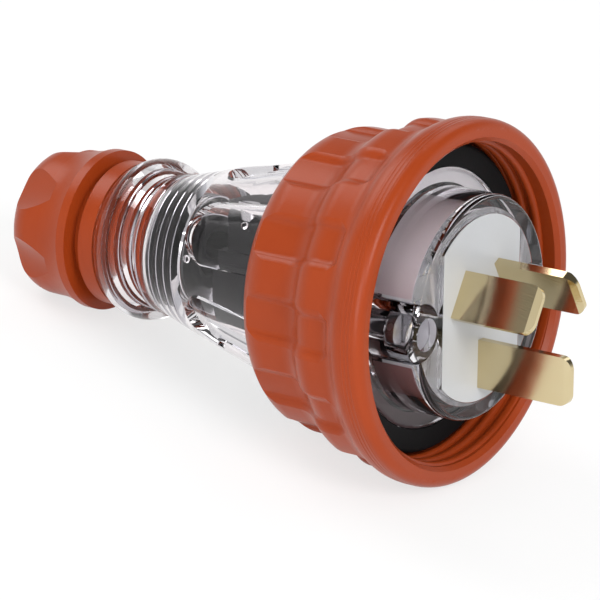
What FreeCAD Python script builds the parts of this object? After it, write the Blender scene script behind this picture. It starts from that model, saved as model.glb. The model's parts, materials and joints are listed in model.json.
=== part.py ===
"""Straight three-pin industrial plug with a screw coupling ring and a clear rear body.

Each piece is modelled about the plug's own axis, which is X: the pins point along +X, the face
that they stand on is at x = 0 and the earth pin is below the axis. The plug then lies as it comes
to rest on a table, on its coupling ring and its gland nut.
"""
import FreeCAD, Part
import math
import os
import re
import Sketcher

# Driving dimensions in millimetres and degrees. A front, back, end or station is a distance
# behind the face that the pins stand on. A size that starts with = follows from the others.
SIZES = {
    # Pins
    "pin_width": 9.08,
    "pin_thickness": 1.63,
    "live_length": 17.06,
    "earth_length": 19.94,
    "live_side": 6.86,
    "live_up": 3.96,
    "live_lean": 30,
    "earth_down": 10.31,
    "tip_round": 2.4,
    "tip_bevel": 0.4,
    "tip_bevel_length": 1.4,
    "pin_shoulder": 4,
    "tang_width": 5.6,
    "tang_end": 17,
    # Pin housing
    "housing_radius": 20.9,
    "housing_wall": 2.5,
    "housing_round": 1,
    "face_wall": 2.4,
    "window_rim": 3.4,
    "window_half_width": 12.3,
    "flange_front": 10,
    "flange_thickness": 3,
    "flange_width": 3.3,
    "flange_round": 0.6,
    "spigot_step": 0.6,
    "spigot_length": 4,
    "spigot_clearance": 0.2,
    "boss_inset": 3.6,
    "boss_down": 1,
    "boss_radius": 5.4,
    "boss_round": 1.1,
    "o_ring_section": 0.8,
    "o_ring_set_back": 2.2,
    "o_ring_groove_play": 0.1,
    # Housing screws
    "screw_radius": 1.5,
    "thread_play": 0.08,
    "screw_play": 0.25,
    "screw_head_radius": 2.8,
    "screw_head_height": 1.9,
    "screw_head_back": 6.6,
    "screw_end": 27,
    "screw_slot": 0.7,
    "screw_slot_depth": 0.8,
    # Pin carrier
    "carrier_back": 9,
    "carrier_play": 0.15,
    # Terminals
    "terminal_width": 7.6,
    "terminal_depth": 6.6,
    "terminal_back": 25,
    "wire_hole_radius": 2.1,
    "wire_hole_depth": 7.4,
    "terminal_screw_radius": 1.7,
    "terminal_screw_head": 2.2,
    "terminal_screw_length": 3.6,
    "terminal_screw_proud": 1.2,
    "terminal_screw_station": 21.6,
    # Terminal shroud and cord clamp
    "shroud_play": 1.2,
    "shroud_floor": 1.6,
    "shroud_back": 29,
    "vane_thickness": 2.2,
    "clamp_front": 41.5,
    "clamp_back": 49.5,
    "clamp_half_length": 9.4,
    "clamp_round": 2.2,
    "clamp_inner": 3.2,
    "clamp_bridge_top": 12.4,
    "clamp_base_bottom": 9.2,
    "clamp_head_radius": 2,
    "clamp_screw_side": "=clamp_half_length - clamp_head_radius",
    "clamp_head_sunk": 1.6,
    "clamp_gap": 0.3,
    "cheek_front": 30,
    "cheek_back": 52,
    "arm_width": 3.4,
    "cord_radius": 5,
    # Rear body
    "body_flange_play": 1,
    "body_flange_thickness": 3.2,
    "hub_width": 3.1,
    "hub_length": 5,
    "taper_back": 67.3,
    "taper_arc": 450,
    "neck_radius": 13.4,
    "neck_length": 1.9,
    "collar_arc": 6.9,
    "collar_length": 9.4,
    "collar_swell": 0.3,
    "body_wall": 2.8,
    "cavity_back": 57,
    "seat_thickness": 1.6,
    "seat_cone_length": 1.4,
    "seat_hole_radius": 7,
    "gland_wall": 3,
    "panel_count": 6,
    "panel_depth": 1.45,
    "panel_front": 31.5,
    "panel_front_half_width": 7.1,
    "panel_arch_station": 49.5,
    "panel_arch_radius": 6.1,
    "pillar_radius": 3.6,
    "pillar_back": 33,
    # Flange seal
    "seal_thickness": 2.7,
    "seal_play": 0.15,
    "seal_inset": 0.2,
    "seal_round": 0.8,
    # Coupling ring
    "ring_front": 3.1,
    "ring_back": 35.5,
    "ring_back_round": 6.6,
    "ring_back_arc": 6.8,
    "ring_back_rim": 0.3,
    "ring_play": 0.3,
    "collar_room": 9.1,
    "ring_wall": 2.3,
    "lip_height": 1.7,
    "lip_round": 1.9,
    "lip_back": 7.3,
    "lip_ramp": 5,
    "mouth_chamfer": 0.8,
    "front_tier_radius": "=housing_radius + collar_room + ring_wall",
    "tier_step": 3.7,
    "tier_middle": 20,
    "tier_ramp": 8.6,
    "rear_wall": 2.4,
    "rear_bore_play": 1,
    "recess_count": 12,
    "recess_depth": 1.1,
    "recess_floor_angle": 5.3,
    "recess_middle_angle": 7.25,
    "recess_edge_angle": 9.9,
    "recess_floor_arc": 1.6,
    "recess_edge_arc": 2.5,
    "recess_edge_rise": 0.05,
    "recess_end_arc": 3,
    "recess_end_length": 2.4,
    "recess_end_rise": 1.2,
    "recess_turn": 0.75,
    # Gland nut, slip washer and grommet
    "nut_back": 100.4,
    "nut_radius": 14.2,
    "nut_round": 5.8,
    "flare_length": 5.5,
    "flare_arc": 16,
    "rim_back": 86.3,
    "rim_thickness": 1.9,
    "rim_height": 1.15,
    "nut_groove_length": 2.2,
    "nut_groove_depth": 2.3,
    "nut_collar_inset": 0.4,
    "stem_length": 10.6,
    "stem_play": 0.3,
    "cord_bore_radius": 5.2,
    "cord_bore_round": 1.6,
    "lobe_count": 6,
    "lobe_depth": 4,
    "lobe_tilt": 18,
    "lobe_cutter_radius": 9,
    "lobe_turn": -9,
    "washer_thickness": 1.1,
    "washer_play": 0.3,
    "grommet_play": 0.25,
    "grommet_bore_radius": 4.6,
}

X_AXIS = FreeCAD.Vector(1, 0, 0)
Y_AXIS = FreeCAD.Vector(0, 1, 0)
Z_AXIS = FreeCAD.Vector(0, 0, 1)
THROUGH = 120

doc = FreeCAD.newDocument("industrial_plug")
sheet = doc.addObject("Spreadsheet::Sheet", "dim")
for row, (size_name, size) in enumerate(SIZES.items(), start=1):
    sheet.set(f"A{row}", size_name)
    sheet.set(f"B{row}", str(size))
    sheet.setAlias(f"B{row}", size_name)
doc.recompute()


# Cells, sketches and features

def bound(text):
    """The text as an expression that reads each named size from the sheet."""
    return re.sub(r"[a-z]\w*", lambda word: "dim." + word[0] if word[0] in SIZES else word[0], text)


def value(text):
    """What the text comes to with the sheet's present sizes."""
    return float(sheet.evalExpression(bound(text)))


def new_body(name):
    """An empty body whose label names its piece."""
    body = doc.addObject("PartDesign::Body", name)
    body.Label = name
    return body


def origin_feature(body, role):
    """One of the body's own origin planes or axes."""
    return next(item for item in body.Origin.OriginFeatures if item.Role == role)


def new_sketch(body, plane, offset=("0", "0", "0"), tilt_axis=X_AXIS, tilt="0"):
    """A sketch on an origin plane, moved by the offset and tilted about one of its own axes."""
    sketch = body.newObject("Sketcher::SketchObject", "sketch")
    sketch.AttachmentSupport = [(origin_feature(body, plane), "")]
    sketch.MapMode = "FlatFace"
    place = FreeCAD.Vector(*[value(part) for part in offset])
    sketch.AttachmentOffset = FreeCAD.Placement(place, FreeCAD.Rotation(tilt_axis, value(tilt)))
    for letter, part in zip("xyz", offset):
        if part != "0":
            sketch.setExpression("AttachmentOffset.Base." + letter, bound(part))
    if tilt != "0":
        sketch.setExpression("AttachmentOffset.Rotation.Angle", bound(tilt))
    return sketch


def fix_point(sketch, edge, end, x, y):
    """Hold one point of an edge at a place given by two expressions."""
    for kind, axis, text in (("DistanceX", -2, x), ("DistanceY", -1, y)):
        if text == "0":
            sketch.addConstraint(Sketcher.Constraint("PointOnObject", edge, end, axis))
            continue
        index = sketch.addConstraint(Sketcher.Constraint(kind, -1, 1, edge, end, value(text)))
        sketch.setExpression(f"Constraints[{index}]", bound(text))


def fix_radius(sketch, edge, radius):
    """Hold the radius of a circle or an arc at an expression."""
    index = sketch.addConstraint(Sketcher.Constraint("Radius", edge, value(radius)))
    sketch.setExpression(f"Constraints[{index}]", bound(radius))


def arc_between(start, end, radius, turn):
    """The arc of up to half a turn from start to end, and which of its ends is which."""
    chord = end - start
    half = chord.Length / 2
    height = max(radius * radius - half * half, 0) ** 0.5
    side = 1 if turn == "left" else -1
    across = FreeCAD.Vector(-chord.y, chord.x, 0).normalize()
    centre = (start + end) * 0.5 + across * (side * height)
    first, last = (start, end) if turn == "left" else (end, start)
    angles = []
    for point in (first, last):
        angles.append(FreeCAD.Vector(1, 0, 0).getAngle(point - centre) * (1 if point.y >= centre.y else -1))
    if angles[1] <= angles[0]:
        angles[1] += math.tau
    circle = Part.Circle(centre, Z_AXIS, radius)
    return Part.ArcOfCircle(circle, angles[0], angles[1]), (1, 2) if turn == "left" else (2, 1)


def draw(sketch, corners, closed=True):
    """An outline through the corners, each (x, y), or (x, y, radius, turn) at the end of an arc."""
    points = [FreeCAD.Vector(value(corner[0]), value(corner[1]), 0) for corner in corners]
    edges = []
    for index, corner in enumerate(corners):
        if index == 0 and not closed:
            continue
        start, end = points[index - 1], points[index]
        if len(corner) == 2:
            geometry, ends = Part.LineSegment(start, end), (1, 2)
        else:
            geometry, ends = arc_between(start, end, value(corner[2]), corner[3])
        edges.append((sketch.addGeometry(geometry, False), ends))
    if not closed:
        first, ends = edges[0]
        fix_point(sketch, first, ends[0], *corners[0])
    for index, corner in enumerate(corners[len(corners) - len(edges):]):
        edge, ends = edges[index]
        if closed or index + 1 < len(edges):
            following, next_ends = edges[(index + 1) % len(edges)]
            sketch.addConstraint(Sketcher.Constraint("Coincident", edge, ends[1], following, next_ends[0]))
        fix_point(sketch, edge, ends[1], corner[0], corner[1])
        if len(corner) == 4:
            fix_radius(sketch, edge, corner[2])


def draw_circle(sketch, x, y, radius):
    """A circle whose centre and radius are expressions."""
    centre = FreeCAD.Vector(value(x), value(y), 0)
    edge = sketch.addGeometry(Part.Circle(centre, Z_AXIS, value(radius)), False)
    fix_point(sketch, edge, 3, x, y)
    fix_radius(sketch, edge, radius)


def box_corners(left, bottom, right, top):
    """The corners of an upright rectangle."""
    return [(left, bottom), (right, bottom), (right, top), (left, top)]


def revolve(body, corners):
    """Turn an outline of (x, radius) corners about the plug's axis."""
    sketch = new_sketch(body, "XZ_Plane")
    draw(sketch, corners)
    feature = body.newObject("PartDesign::Revolution", "turned")
    feature.Profile = sketch
    feature.ReferenceAxis = (sketch, ["H_Axis"])
    feature.Angle = 360
    return feature


def extrude(body, kind, sketch, length, towards_normal=True, both_ways=False):
    """A pad or a pocket of the sketch, along its normal, against it or half each way."""
    feature = body.newObject("PartDesign::" + kind, kind.lower())
    feature.Profile = sketch
    feature.Midplane = both_ways
    feature.Reversed = towards_normal if kind == "Pocket" else not towards_normal
    feature.Length = value(length)
    feature.setExpression("Length", bound(length))
    return feature


def pad(body, sketch, length, towards_normal=True, both_ways=False):
    """Add the sketch's area over the length."""
    return extrude(body, "Pad", sketch, length, towards_normal, both_ways)


def pocket(body, sketch, length=str(THROUGH), towards_normal=False, both_ways=False):
    """Cut the sketch's area away over the length."""
    return extrude(body, "Pocket", sketch, length, towards_normal, both_ways)


def mirror_sideways(body, features):
    """Repeat the features on the other side of the plug's upright middle plane."""
    mirrored = body.newObject("PartDesign::Mirrored", "mirrored")
    mirrored.Originals = features
    mirrored.MirrorPlane = (origin_feature(body, "XZ_Plane"), [""])
    body.Tip = mirrored


def repeat_round_axis(body, features, count):
    """Repeat the features evenly round the plug's axis."""
    pattern = body.newObject("PartDesign::PolarPattern", "pattern")
    pattern.Originals = features
    pattern.Axis = (origin_feature(body, "X_Axis"), [""])
    pattern.Angle = 360
    pattern.Occurrences = round(value(count))
    pattern.setExpression("Occurrences", bound(count))
    body.Tip = pattern


# Shapes that more than one piece follows

PIN_SEATS = {
    "left": ("-live_side", "live_up", "-live_lean"),
    "right": ("live_side", "live_up", "live_lean"),
    "earth": ("0", "-earth_down", "0"),
}
FLANGE_BACK = "(flange_front + flange_thickness)"
FLANGE_RADIUS = "(housing_radius + flange_width)"
SPIGOT_RADIUS = "(housing_radius + spigot_step)"
SPIGOT_BACK = f"({FLANGE_BACK} + spigot_length)"
SPIGOT_BORE = f"({SPIGOT_RADIUS} + spigot_clearance)"
O_RING_STATION = f"({FLANGE_BACK} + o_ring_set_back)"
BOSS_SIDE = "(housing_radius - boss_inset)"
HOUSING_INNER = "(housing_radius - housing_wall)"
SHROUD_FLOOR_BACK = "(carrier_back + shroud_floor)"
MOUTH_RADIUS = "(front_tier_radius - ring_wall)"
LIP_RADIUS = "(front_tier_radius + lip_height)"
REAR_TIER_RADIUS = "(front_tier_radius - tier_step)"
BODY_FLANGE_RADIUS = f"({MOUTH_RADIUS} - body_flange_play)"
BODY_FLANGE_BACK = f"({FLANGE_BACK} + body_flange_thickness)"
HUB_RADIUS = f"({SPIGOT_BORE} + hub_width)"
TAPER_FRONT = f"({BODY_FLANGE_BACK} + hub_length)"
TAPER_SLOPE = f"(({HUB_RADIUS} - neck_radius) / (taper_back - {TAPER_FRONT}))"
NECK_BACK = "(taper_back + neck_length)"
COLLAR_BACK = f"({NECK_BACK} + collar_length)"
SEAT_FRONT = "(cavity_back + seat_thickness)"
SEAT_BACK = f"({SEAT_FRONT} + seat_cone_length)"
GLAND_BORE_RADIUS = "(neck_radius - gland_wall)"
STEM_RADIUS = f"({GLAND_BORE_RADIUS} - stem_play)"
NUT_FRONT = f"({COLLAR_BACK} + ring_play)"
STEM_FRONT = f"({NUT_FRONT} - stem_length)"
WASHER_BACK = f"({STEM_FRONT} - washer_play)"
GROMMET_BACK = f"({WASHER_BACK} - washer_thickness - washer_play)"


def seat_placement(seat):
    """Where a pin's own frame stands: width along its Z, thickness along its Y."""
    side, up, lean = PIN_SEATS[seat]
    return FreeCAD.Placement(FreeCAD.Vector(0, value(side), value(up)), FreeCAD.Rotation(X_AXIS, value(lean)))


def seat_slot(sketch, seat, width, thickness):
    """A slot for a pin or its tang, in a sketch across the plug's axis."""
    side, up, lean = PIN_SEATS[seat]
    corners = []
    for across, along in ((-1, -1), (1, -1), (1, 1), (-1, 1)):
        a, b = f"({across} * {thickness} / 2)", f"({along} * {width} / 2)"
        corners.append((f"{side} + {a} * cos({lean}) - {b} * sin({lean})",
                        f"{up} + {a} * sin({lean}) + {b} * cos({lean})"))
    draw(sketch, corners)


def window_outline(play):
    """The face window: a disc cut by two upright chords."""
    half, radius = f"(window_half_width - {play})", f"(housing_radius - window_rim - {play})"
    height = f"sqrt({radius} * {radius} - {half} * {half})"
    return [
        (half, height),
        (f"-{half}", height, radius, "left"),
        (f"-{half}", f"-{height}"),
        (half, f"-{height}", radius, "left"),
    ]


def boss_circles(body, front, radius):
    """A sketch with the left screw boss's circle, at a station across the plug's axis."""
    sketch = new_sketch(body, "YZ_Plane", offset=("0", "0", f"-{front}"))
    draw_circle(sketch, f"-{BOSS_SIDE}", "-boss_down", radius)
    return sketch


# Pieces

def make_pin(name, length):
    """A flat pin with rounded and bevelled tip, a shoulder and a tang for its terminal."""
    body = new_body(name)
    sketch = new_sketch(body, "XZ_Plane")
    draw(sketch, [
        (f"{length} - tip_round", "-pin_width / 2"),
        (length, "-pin_width / 2 + tip_round", "tip_round", "left"),
        (length, "pin_width / 2 - tip_round"),
        (f"{length} - tip_round", "pin_width / 2", "tip_round", "left"),
        ("-pin_shoulder", "pin_width / 2"),
        ("-pin_shoulder", "tang_width / 2"),
        ("-tang_end", "tang_width / 2"),
        ("-tang_end", "-tang_width / 2"),
        ("-pin_shoulder", "-tang_width / 2"),
        ("-pin_shoulder", "-pin_width / 2"),
    ])
    pad(body, sketch, "pin_thickness", both_ways=True)
    sketch = new_sketch(body, "XY_Plane")
    for sign in ("", "-"):
        draw(sketch, [
            (f"{length} - tip_bevel_length", f"{sign}(pin_thickness / 2)"),
            (f"{length} + tip_bevel_length", f"{sign}(pin_thickness / 2 - 2 * tip_bevel)"),
            (f"{length} + tip_bevel_length", f"{sign}(pin_thickness)"),
            (f"{length} - tip_bevel_length", f"{sign}(pin_thickness)"),
        ])
    pocket(body, sketch, both_ways=True)
    return body


def make_pin_housing():
    """The clear cup round the pins: window, flange, spigot with its groove, and screw bosses."""
    body = new_body("pin_housing")
    groove_half = "(o_ring_section + o_ring_groove_play)"
    groove_floor = f"{SPIGOT_BORE} - 2 * o_ring_section"
    revolve(body, [
        ("0", "0"),
        ("0", "housing_radius - housing_round"),
        ("-housing_round", "housing_radius", "housing_round", "left"),
        ("-flange_front", "housing_radius"),
        ("-flange_front", f"{FLANGE_RADIUS} - flange_round"),
        ("-flange_front - flange_round", FLANGE_RADIUS, "flange_round", "left"),
        (f"-{FLANGE_BACK}", FLANGE_RADIUS),
        (f"-{FLANGE_BACK}", SPIGOT_RADIUS),
        (f"-{O_RING_STATION} + {groove_half}", SPIGOT_RADIUS),
        (f"-{O_RING_STATION} + {groove_half}", groove_floor),
        (f"-{O_RING_STATION} - {groove_half}", groove_floor),
        (f"-{O_RING_STATION} - {groove_half}", SPIGOT_RADIUS),
        (f"-{SPIGOT_BACK}", SPIGOT_RADIUS),
        (f"-{SPIGOT_BACK}", HOUSING_INNER),
        ("-face_wall", HOUSING_INNER),
        ("-face_wall", "0"),
    ])
    boss = pad(body, boss_circles(body, "boss_round", "boss_radius"), f"{FLANGE_BACK} - boss_round",
               towards_normal=False)
    nose = pad(body, boss_circles(body, "0", "boss_radius - boss_round"), "boss_round",
               towards_normal=False)
    collar = new_sketch(body, "XY_Plane", offset=("0", "0", "-boss_down"))
    draw(collar, [
        ("0", f"-{BOSS_SIDE} + boss_radius - boss_round"),
        ("-boss_round", f"-{BOSS_SIDE} + boss_radius", "boss_round", "left"),
        ("-boss_round", f"-{BOSS_SIDE} + boss_radius - boss_round"),
    ])
    ends = [FreeCAD.Vector(reach, -value(BOSS_SIDE), 0) for reach in (-1, 1)]
    axis = collar.addGeometry(Part.LineSegment(*ends), True)
    fix_point(collar, axis, 1, "-boss_round", f"-{BOSS_SIDE}")
    fix_point(collar, axis, 2, "boss_round", f"-{BOSS_SIDE}")
    rounding = body.newObject("PartDesign::Revolution", "rounding")
    rounding.Profile = collar
    rounding.ReferenceAxis = (collar, ["Axis0"])
    rounding.Angle = 360
    mirror_sideways(body, [boss, nose, rounding])
    sketch = new_sketch(body, "YZ_Plane")
    draw(sketch, window_outline("0"))
    pocket(body, sketch, "face_wall")
    head_hole = pocket(body, boss_circles(body, "0", "screw_head_radius + screw_play"),
                       "screw_head_back")
    shank_hole = pocket(body, boss_circles(body, "0", "screw_radius + screw_play"))
    mirror_sideways(body, [head_hole, shank_hole])
    return body


def notch_for_bosses(body):
    """Clear the two screw bosses of the pin housing."""
    notch = pocket(body, boss_circles(body, "0", "boss_radius + carrier_play"))
    mirror_sideways(body, [notch])


def make_pin_carrier():
    """The white insulating block: a disc behind the face, raised through its window."""
    body = new_body("pin_carrier")
    revolve(body, [
        ("-face_wall", "0"),
        ("-face_wall", f"{HOUSING_INNER} - carrier_play"),
        ("-carrier_back", f"{HOUSING_INNER} - carrier_play"),
        ("-carrier_back", "0"),
    ])
    notch_for_bosses(body)
    sketch = new_sketch(body, "YZ_Plane")
    draw(sketch, window_outline("carrier_play"))
    pad(body, sketch, "face_wall", towards_normal=False)
    for width, depth in (("pin_width", "pin_shoulder"), ("tang_width", "carrier_back + 1")):
        sketch = new_sketch(body, "YZ_Plane")
        for seat in PIN_SEATS:
            seat_slot(sketch, seat, width, "pin_thickness")
        pocket(body, sketch, depth)
    return body


def make_terminal(name, screw_plane, outwards):
    """A brass block on a pin's tang, with a wire hole behind and a hole for its screw."""
    body = new_body(name)
    sketch = new_sketch(body, "YZ_Plane", offset=("0", "0", f"-{SHROUD_FLOOR_BACK}"))
    draw(sketch, box_corners("-terminal_depth / 2", "-terminal_width / 2", "terminal_depth / 2",
                             "terminal_width / 2"))
    pad(body, sketch, f"terminal_back - {SHROUD_FLOOR_BACK}", towards_normal=False)
    sketch = new_sketch(body, "YZ_Plane")
    draw(sketch, box_corners("-pin_thickness / 2", "-tang_width / 2", "pin_thickness / 2",
                             "tang_width / 2"))
    pocket(body, sketch, "tang_end")
    sketch = new_sketch(body, "YZ_Plane", offset=("0", "0", "-terminal_back"))
    draw_circle(sketch, "0", "0", "wire_hole_radius")
    pocket(body, sketch, "wire_hole_depth", towards_normal=True)
    sketch = new_sketch(body, screw_plane)
    draw_circle(sketch, "-terminal_screw_station", "0", "terminal_screw_radius + thread_play")
    pocket(body, sketch, "terminal_width", towards_normal=outwards)
    return body


def make_screw(name, radius, length, head_radius, head_height):
    """A slotted screw that stands on its origin: shank along -Z, head above."""
    body = new_body(name)
    sketch = new_sketch(body, "XZ_Plane")
    draw(sketch, [
        ("0", f"-({length})"),
        (radius, f"-({length})"),
        (radius, "0"),
        (head_radius, "0"),
        (head_radius, head_height),
        ("0", head_height),
    ])
    turned = body.newObject("PartDesign::Revolution", "turned")
    turned.Profile = sketch
    turned.ReferenceAxis = (sketch, ["V_Axis"])
    turned.Angle = 360
    sketch = new_sketch(body, "XY_Plane", offset=("0", "0", head_height))
    draw(sketch, box_corners(f"-{head_radius} - 1", "-screw_slot / 2", f"{head_radius} + 1",
                             "screw_slot / 2"))
    pocket(body, sketch, "screw_slot_depth")
    return body


def make_terminal_shroud():
    """The black insulator: floor, vanes between the terminals, arms, and cheeks round the clamp base."""
    body = new_body("terminal_shroud")
    revolve(body, [
        ("-carrier_back", "0"),
        ("-carrier_back", f"{HOUSING_INNER} - shroud_play"),
        (f"-{SHROUD_FLOOR_BACK}", f"{HOUSING_INNER} - shroud_play"),
        (f"-{SHROUD_FLOOR_BACK}", "0"),
    ])
    sketch = new_sketch(body, "YZ_Plane", offset=("0", "0", f"-{SHROUD_FLOOR_BACK}"))
    draw(sketch, [
        ("-vane_thickness / 2", "0"),
        ("vane_thickness / 2", "0"),
        ("vane_thickness / 2", f"{HOUSING_INNER} - 2 * shroud_play"),
        ("-vane_thickness / 2", f"{HOUSING_INNER} - 2 * shroud_play"),
    ])
    vane = pad(body, sketch, f"shroud_back - {SHROUD_FLOOR_BACK}", towards_normal=False)
    pattern = body.newObject("PartDesign::PolarPattern", "vanes")
    pattern.Originals = [vane]
    pattern.Axis = (origin_feature(body, "X_Axis"), [""])
    pattern.Angle = 360
    pattern.Occurrences = len(PIN_SEATS)
    body.Tip = pattern
    sketch = new_sketch(body, "YZ_Plane", offset=("0", "0", f"-{SHROUD_FLOOR_BACK}"))
    sides = (("-clamp_half_length", "-clamp_half_length + arm_width"),
             ("clamp_half_length - arm_width", "clamp_half_length"))
    for left, right in sides:
        draw(sketch, box_corners(left, "-clamp_base_bottom", right, "-clamp_inner"))
    pad(body, sketch, f"clamp_back - {SHROUD_FLOOR_BACK}", towards_normal=False)
    sketch = new_sketch(body, "YZ_Plane", offset=("0", "0", "-cheek_front"))
    for left, right in sides:
        draw(sketch, box_corners(left, "-clamp_base_bottom", right, "clamp_inner - clamp_gap"))
    pad(body, sketch, "cheek_back - cheek_front", towards_normal=False)
    sketch = new_sketch(body, "YZ_Plane", offset=("0", "0", "-clamp_front"))
    draw(sketch, box_corners("-clamp_half_length", "-clamp_base_bottom", "clamp_half_length",
                             "-clamp_inner"))
    pad(body, sketch, "clamp_back - clamp_front", towards_normal=False)
    sketch = new_sketch(body, "YZ_Plane", offset=("0", "0", "-clamp_front"))
    draw_circle(sketch, "0", "0", "cord_radius")
    pocket(body, sketch, "clamp_back - clamp_front")
    sketch = new_sketch(body, "YZ_Plane")
    for seat in PIN_SEATS:
        seat_slot(sketch, seat, "tang_width", "pin_thickness")
    pocket(body, sketch, SHROUD_FLOOR_BACK)
    sketch = new_sketch(body, "YZ_Plane")
    draw_circle(sketch, f"-{BOSS_SIDE}", "-boss_down", "boss_radius + carrier_play")
    notch = pocket(body, sketch, "shroud_back")
    mirror_sideways(body, [notch])
    sketch = new_sketch(body, "XY_Plane", offset=("0", "0", "clamp_inner"))
    for side in ("-clamp_screw_side", "clamp_screw_side"):
        draw_circle(sketch, "-(clamp_front + clamp_back) / 2", side, "screw_radius + thread_play")
    pocket(body, sketch)
    return body


def make_clamp_bridge():
    """The black bar that holds the cord down, hollowed for it and drilled for two screws."""
    body = new_body("clamp_bridge")
    sketch = new_sketch(body, "YZ_Plane", offset=("0", "0", "-clamp_front"))
    draw(sketch, [
        ("-clamp_half_length", "clamp_inner"),
        ("clamp_half_length", "clamp_inner"),
        ("clamp_half_length", "clamp_bridge_top - clamp_round"),
        ("clamp_half_length - clamp_round", "clamp_bridge_top", "clamp_round", "left"),
        ("-clamp_half_length + clamp_round", "clamp_bridge_top"),
        ("-clamp_half_length", "clamp_bridge_top - clamp_round", "clamp_round", "left"),
    ])
    pad(body, sketch, "clamp_back - clamp_front", towards_normal=False)
    sketch = new_sketch(body, "YZ_Plane", offset=("0", "0", "-clamp_front"))
    draw_circle(sketch, "0", "0", "cord_radius")
    pocket(body, sketch, "clamp_back - clamp_front")
    for radius, height in (("screw_radius + screw_play / 2", "0"),
                           ("clamp_head_radius + screw_play / 2", "clamp_bridge_top - clamp_head_sunk")):
        sketch = new_sketch(body, "XY_Plane", offset=("0", "0", height))
        for side in ("-clamp_screw_side", "clamp_screw_side"):
            draw_circle(sketch, "-(clamp_front + clamp_back) / 2", side, radius)
        pocket(body, sketch, "clamp_bridge_top", towards_normal=True)
    return body


def make_rear_body():
    """The clear tapered body: flange, panels, neck, rounded collar, grommet seat and screw pillars."""
    body = new_body("rear_body")
    cavity_back_radius = f"neck_radius + (taper_back - cavity_back) * {TAPER_SLOPE} - body_wall"
    revolve(body, [
        (f"-{FLANGE_BACK}", SPIGOT_BORE),
        (f"-{FLANGE_BACK}", BODY_FLANGE_RADIUS),
        (f"-{BODY_FLANGE_BACK}", BODY_FLANGE_RADIUS),
        (f"-{BODY_FLANGE_BACK}", HUB_RADIUS),
        (f"-{TAPER_FRONT}", HUB_RADIUS),
        ("-taper_back", "neck_radius", "taper_arc", "left"),
        (f"-{NECK_BACK}", "neck_radius"),
        (f"-{COLLAR_BACK}", "neck_radius + collar_swell", "collar_arc", "left"),
        (f"-{COLLAR_BACK}", GLAND_BORE_RADIUS),
        (f"-{SEAT_BACK}", GLAND_BORE_RADIUS),
        (f"-{SEAT_FRONT}", "seat_hole_radius"),
        ("-cavity_back", "seat_hole_radius"),
        ("-cavity_back", cavity_back_radius),
        (f"-{TAPER_FRONT}", SPIGOT_BORE),
    ])
    lean = f"atan({TAPER_SLOPE})"
    sketch = new_sketch(body, "XY_Plane", tilt_axis=Y_AXIS, tilt=f"-{lean}",
                        offset=("-taper_back", "0", f"neck_radius - panel_depth / cos({lean})"))
    front = f"((taper_back - panel_front) / cos({lean}))"
    arch = f"((taper_back - panel_arch_station) / cos({lean}))"
    draw(sketch, [
        (front, "-panel_front_half_width"),
        (front, "panel_front_half_width"),
        (arch, "panel_arch_radius"),
        (f"{arch} - panel_arch_radius", "0", "panel_arch_radius", "left"),
        (arch, "-panel_arch_radius", "panel_arch_radius", "left"),
    ])
    panel = pocket(body, sketch, "4 * panel_depth", towards_normal=True)
    repeat_round_axis(body, [panel], "panel_count")
    pillar_front = f"({SPIGOT_BACK} + spigot_clearance)"
    pillar = pad(body, boss_circles(body, pillar_front, "pillar_radius"),
                 f"pillar_back - {pillar_front}", towards_normal=False)
    mirror_sideways(body, [pillar])
    hole = pocket(body, boss_circles(body, pillar_front, "screw_radius + thread_play"),
                  f"screw_end + screw_play - {pillar_front}")
    mirror_sideways(body, [hole])
    return body


def make_flange_seal():
    """The black rubber ring that the socket's collar presses on."""
    body = new_body("flange_seal")
    inner, outer = f"{FLANGE_RADIUS} + seal_play", f"{BODY_FLANGE_RADIUS} - seal_inset"
    front = f"-{FLANGE_BACK} + seal_thickness"
    revolve(body, [
        (front, inner),
        (front, f"{outer} - seal_round"),
        (f"{front} - seal_round", outer, "seal_round", "left"),
        (f"-{FLANGE_BACK}", outer),
        (f"-{FLANGE_BACK}", inner),
    ])
    return body


def make_housing_o_ring():
    """The o-ring between the spigot and the rear body."""
    ring = doc.addObject("Part::Torus", "housing_o_ring")
    ring.Label = "housing_o_ring"
    ring.setExpression("Radius1", bound(f"{SPIGOT_BORE} - o_ring_section"))
    ring.setExpression("Radius2", bound("o_ring_section"))
    return ring


def ramp(back, front, low, high):
    """A smooth step up along the axis: two equal arcs between two radii."""
    middle = (f"(-({back}) - ({front})) / 2", f"({low} + {high}) / 2")
    arc = f"((({back}) - ({front})) ^ 2 + ({high} - {low}) ^ 2) / (4 * ({high} - {low}))"
    return [(*middle, arc, "left"), (f"-({front})", high, arc, "right")]


def recess_section(body):
    """The section of the gap between two finger pads, with soft sides."""
    sketch = new_sketch(body, "YZ_Plane", offset=("0", "0", "-ring_back - 1"))
    top = REAR_TIER_RADIUS
    floor, middle, edge, above = (f"({top} - recess_depth)", f"({top} - recess_depth / 2)",
                                  f"({top} + recess_edge_rise)", f"({top} + 4 * recess_depth)")

    def at(radius, angle, side=""):
        return f"{side}{radius} * sin({angle})", f"{radius} * cos({angle})"

    draw(sketch, [
        at(above, "recess_edge_angle"),
        at(above, "recess_edge_angle", "-"),
        at(edge, "recess_edge_angle", "-"),
        (*at(middle, "recess_middle_angle", "-"), "recess_edge_arc", "right"),
        (*at(floor, "recess_floor_angle", "-"), "recess_floor_arc", "left"),
        (*at(floor, "recess_floor_angle"), floor, "right"),
        (*at(middle, "recess_middle_angle"), "recess_floor_arc", "left"),
        (*at(edge, "recess_edge_angle"), "recess_edge_arc", "right"),
    ])
    return sketch


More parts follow.
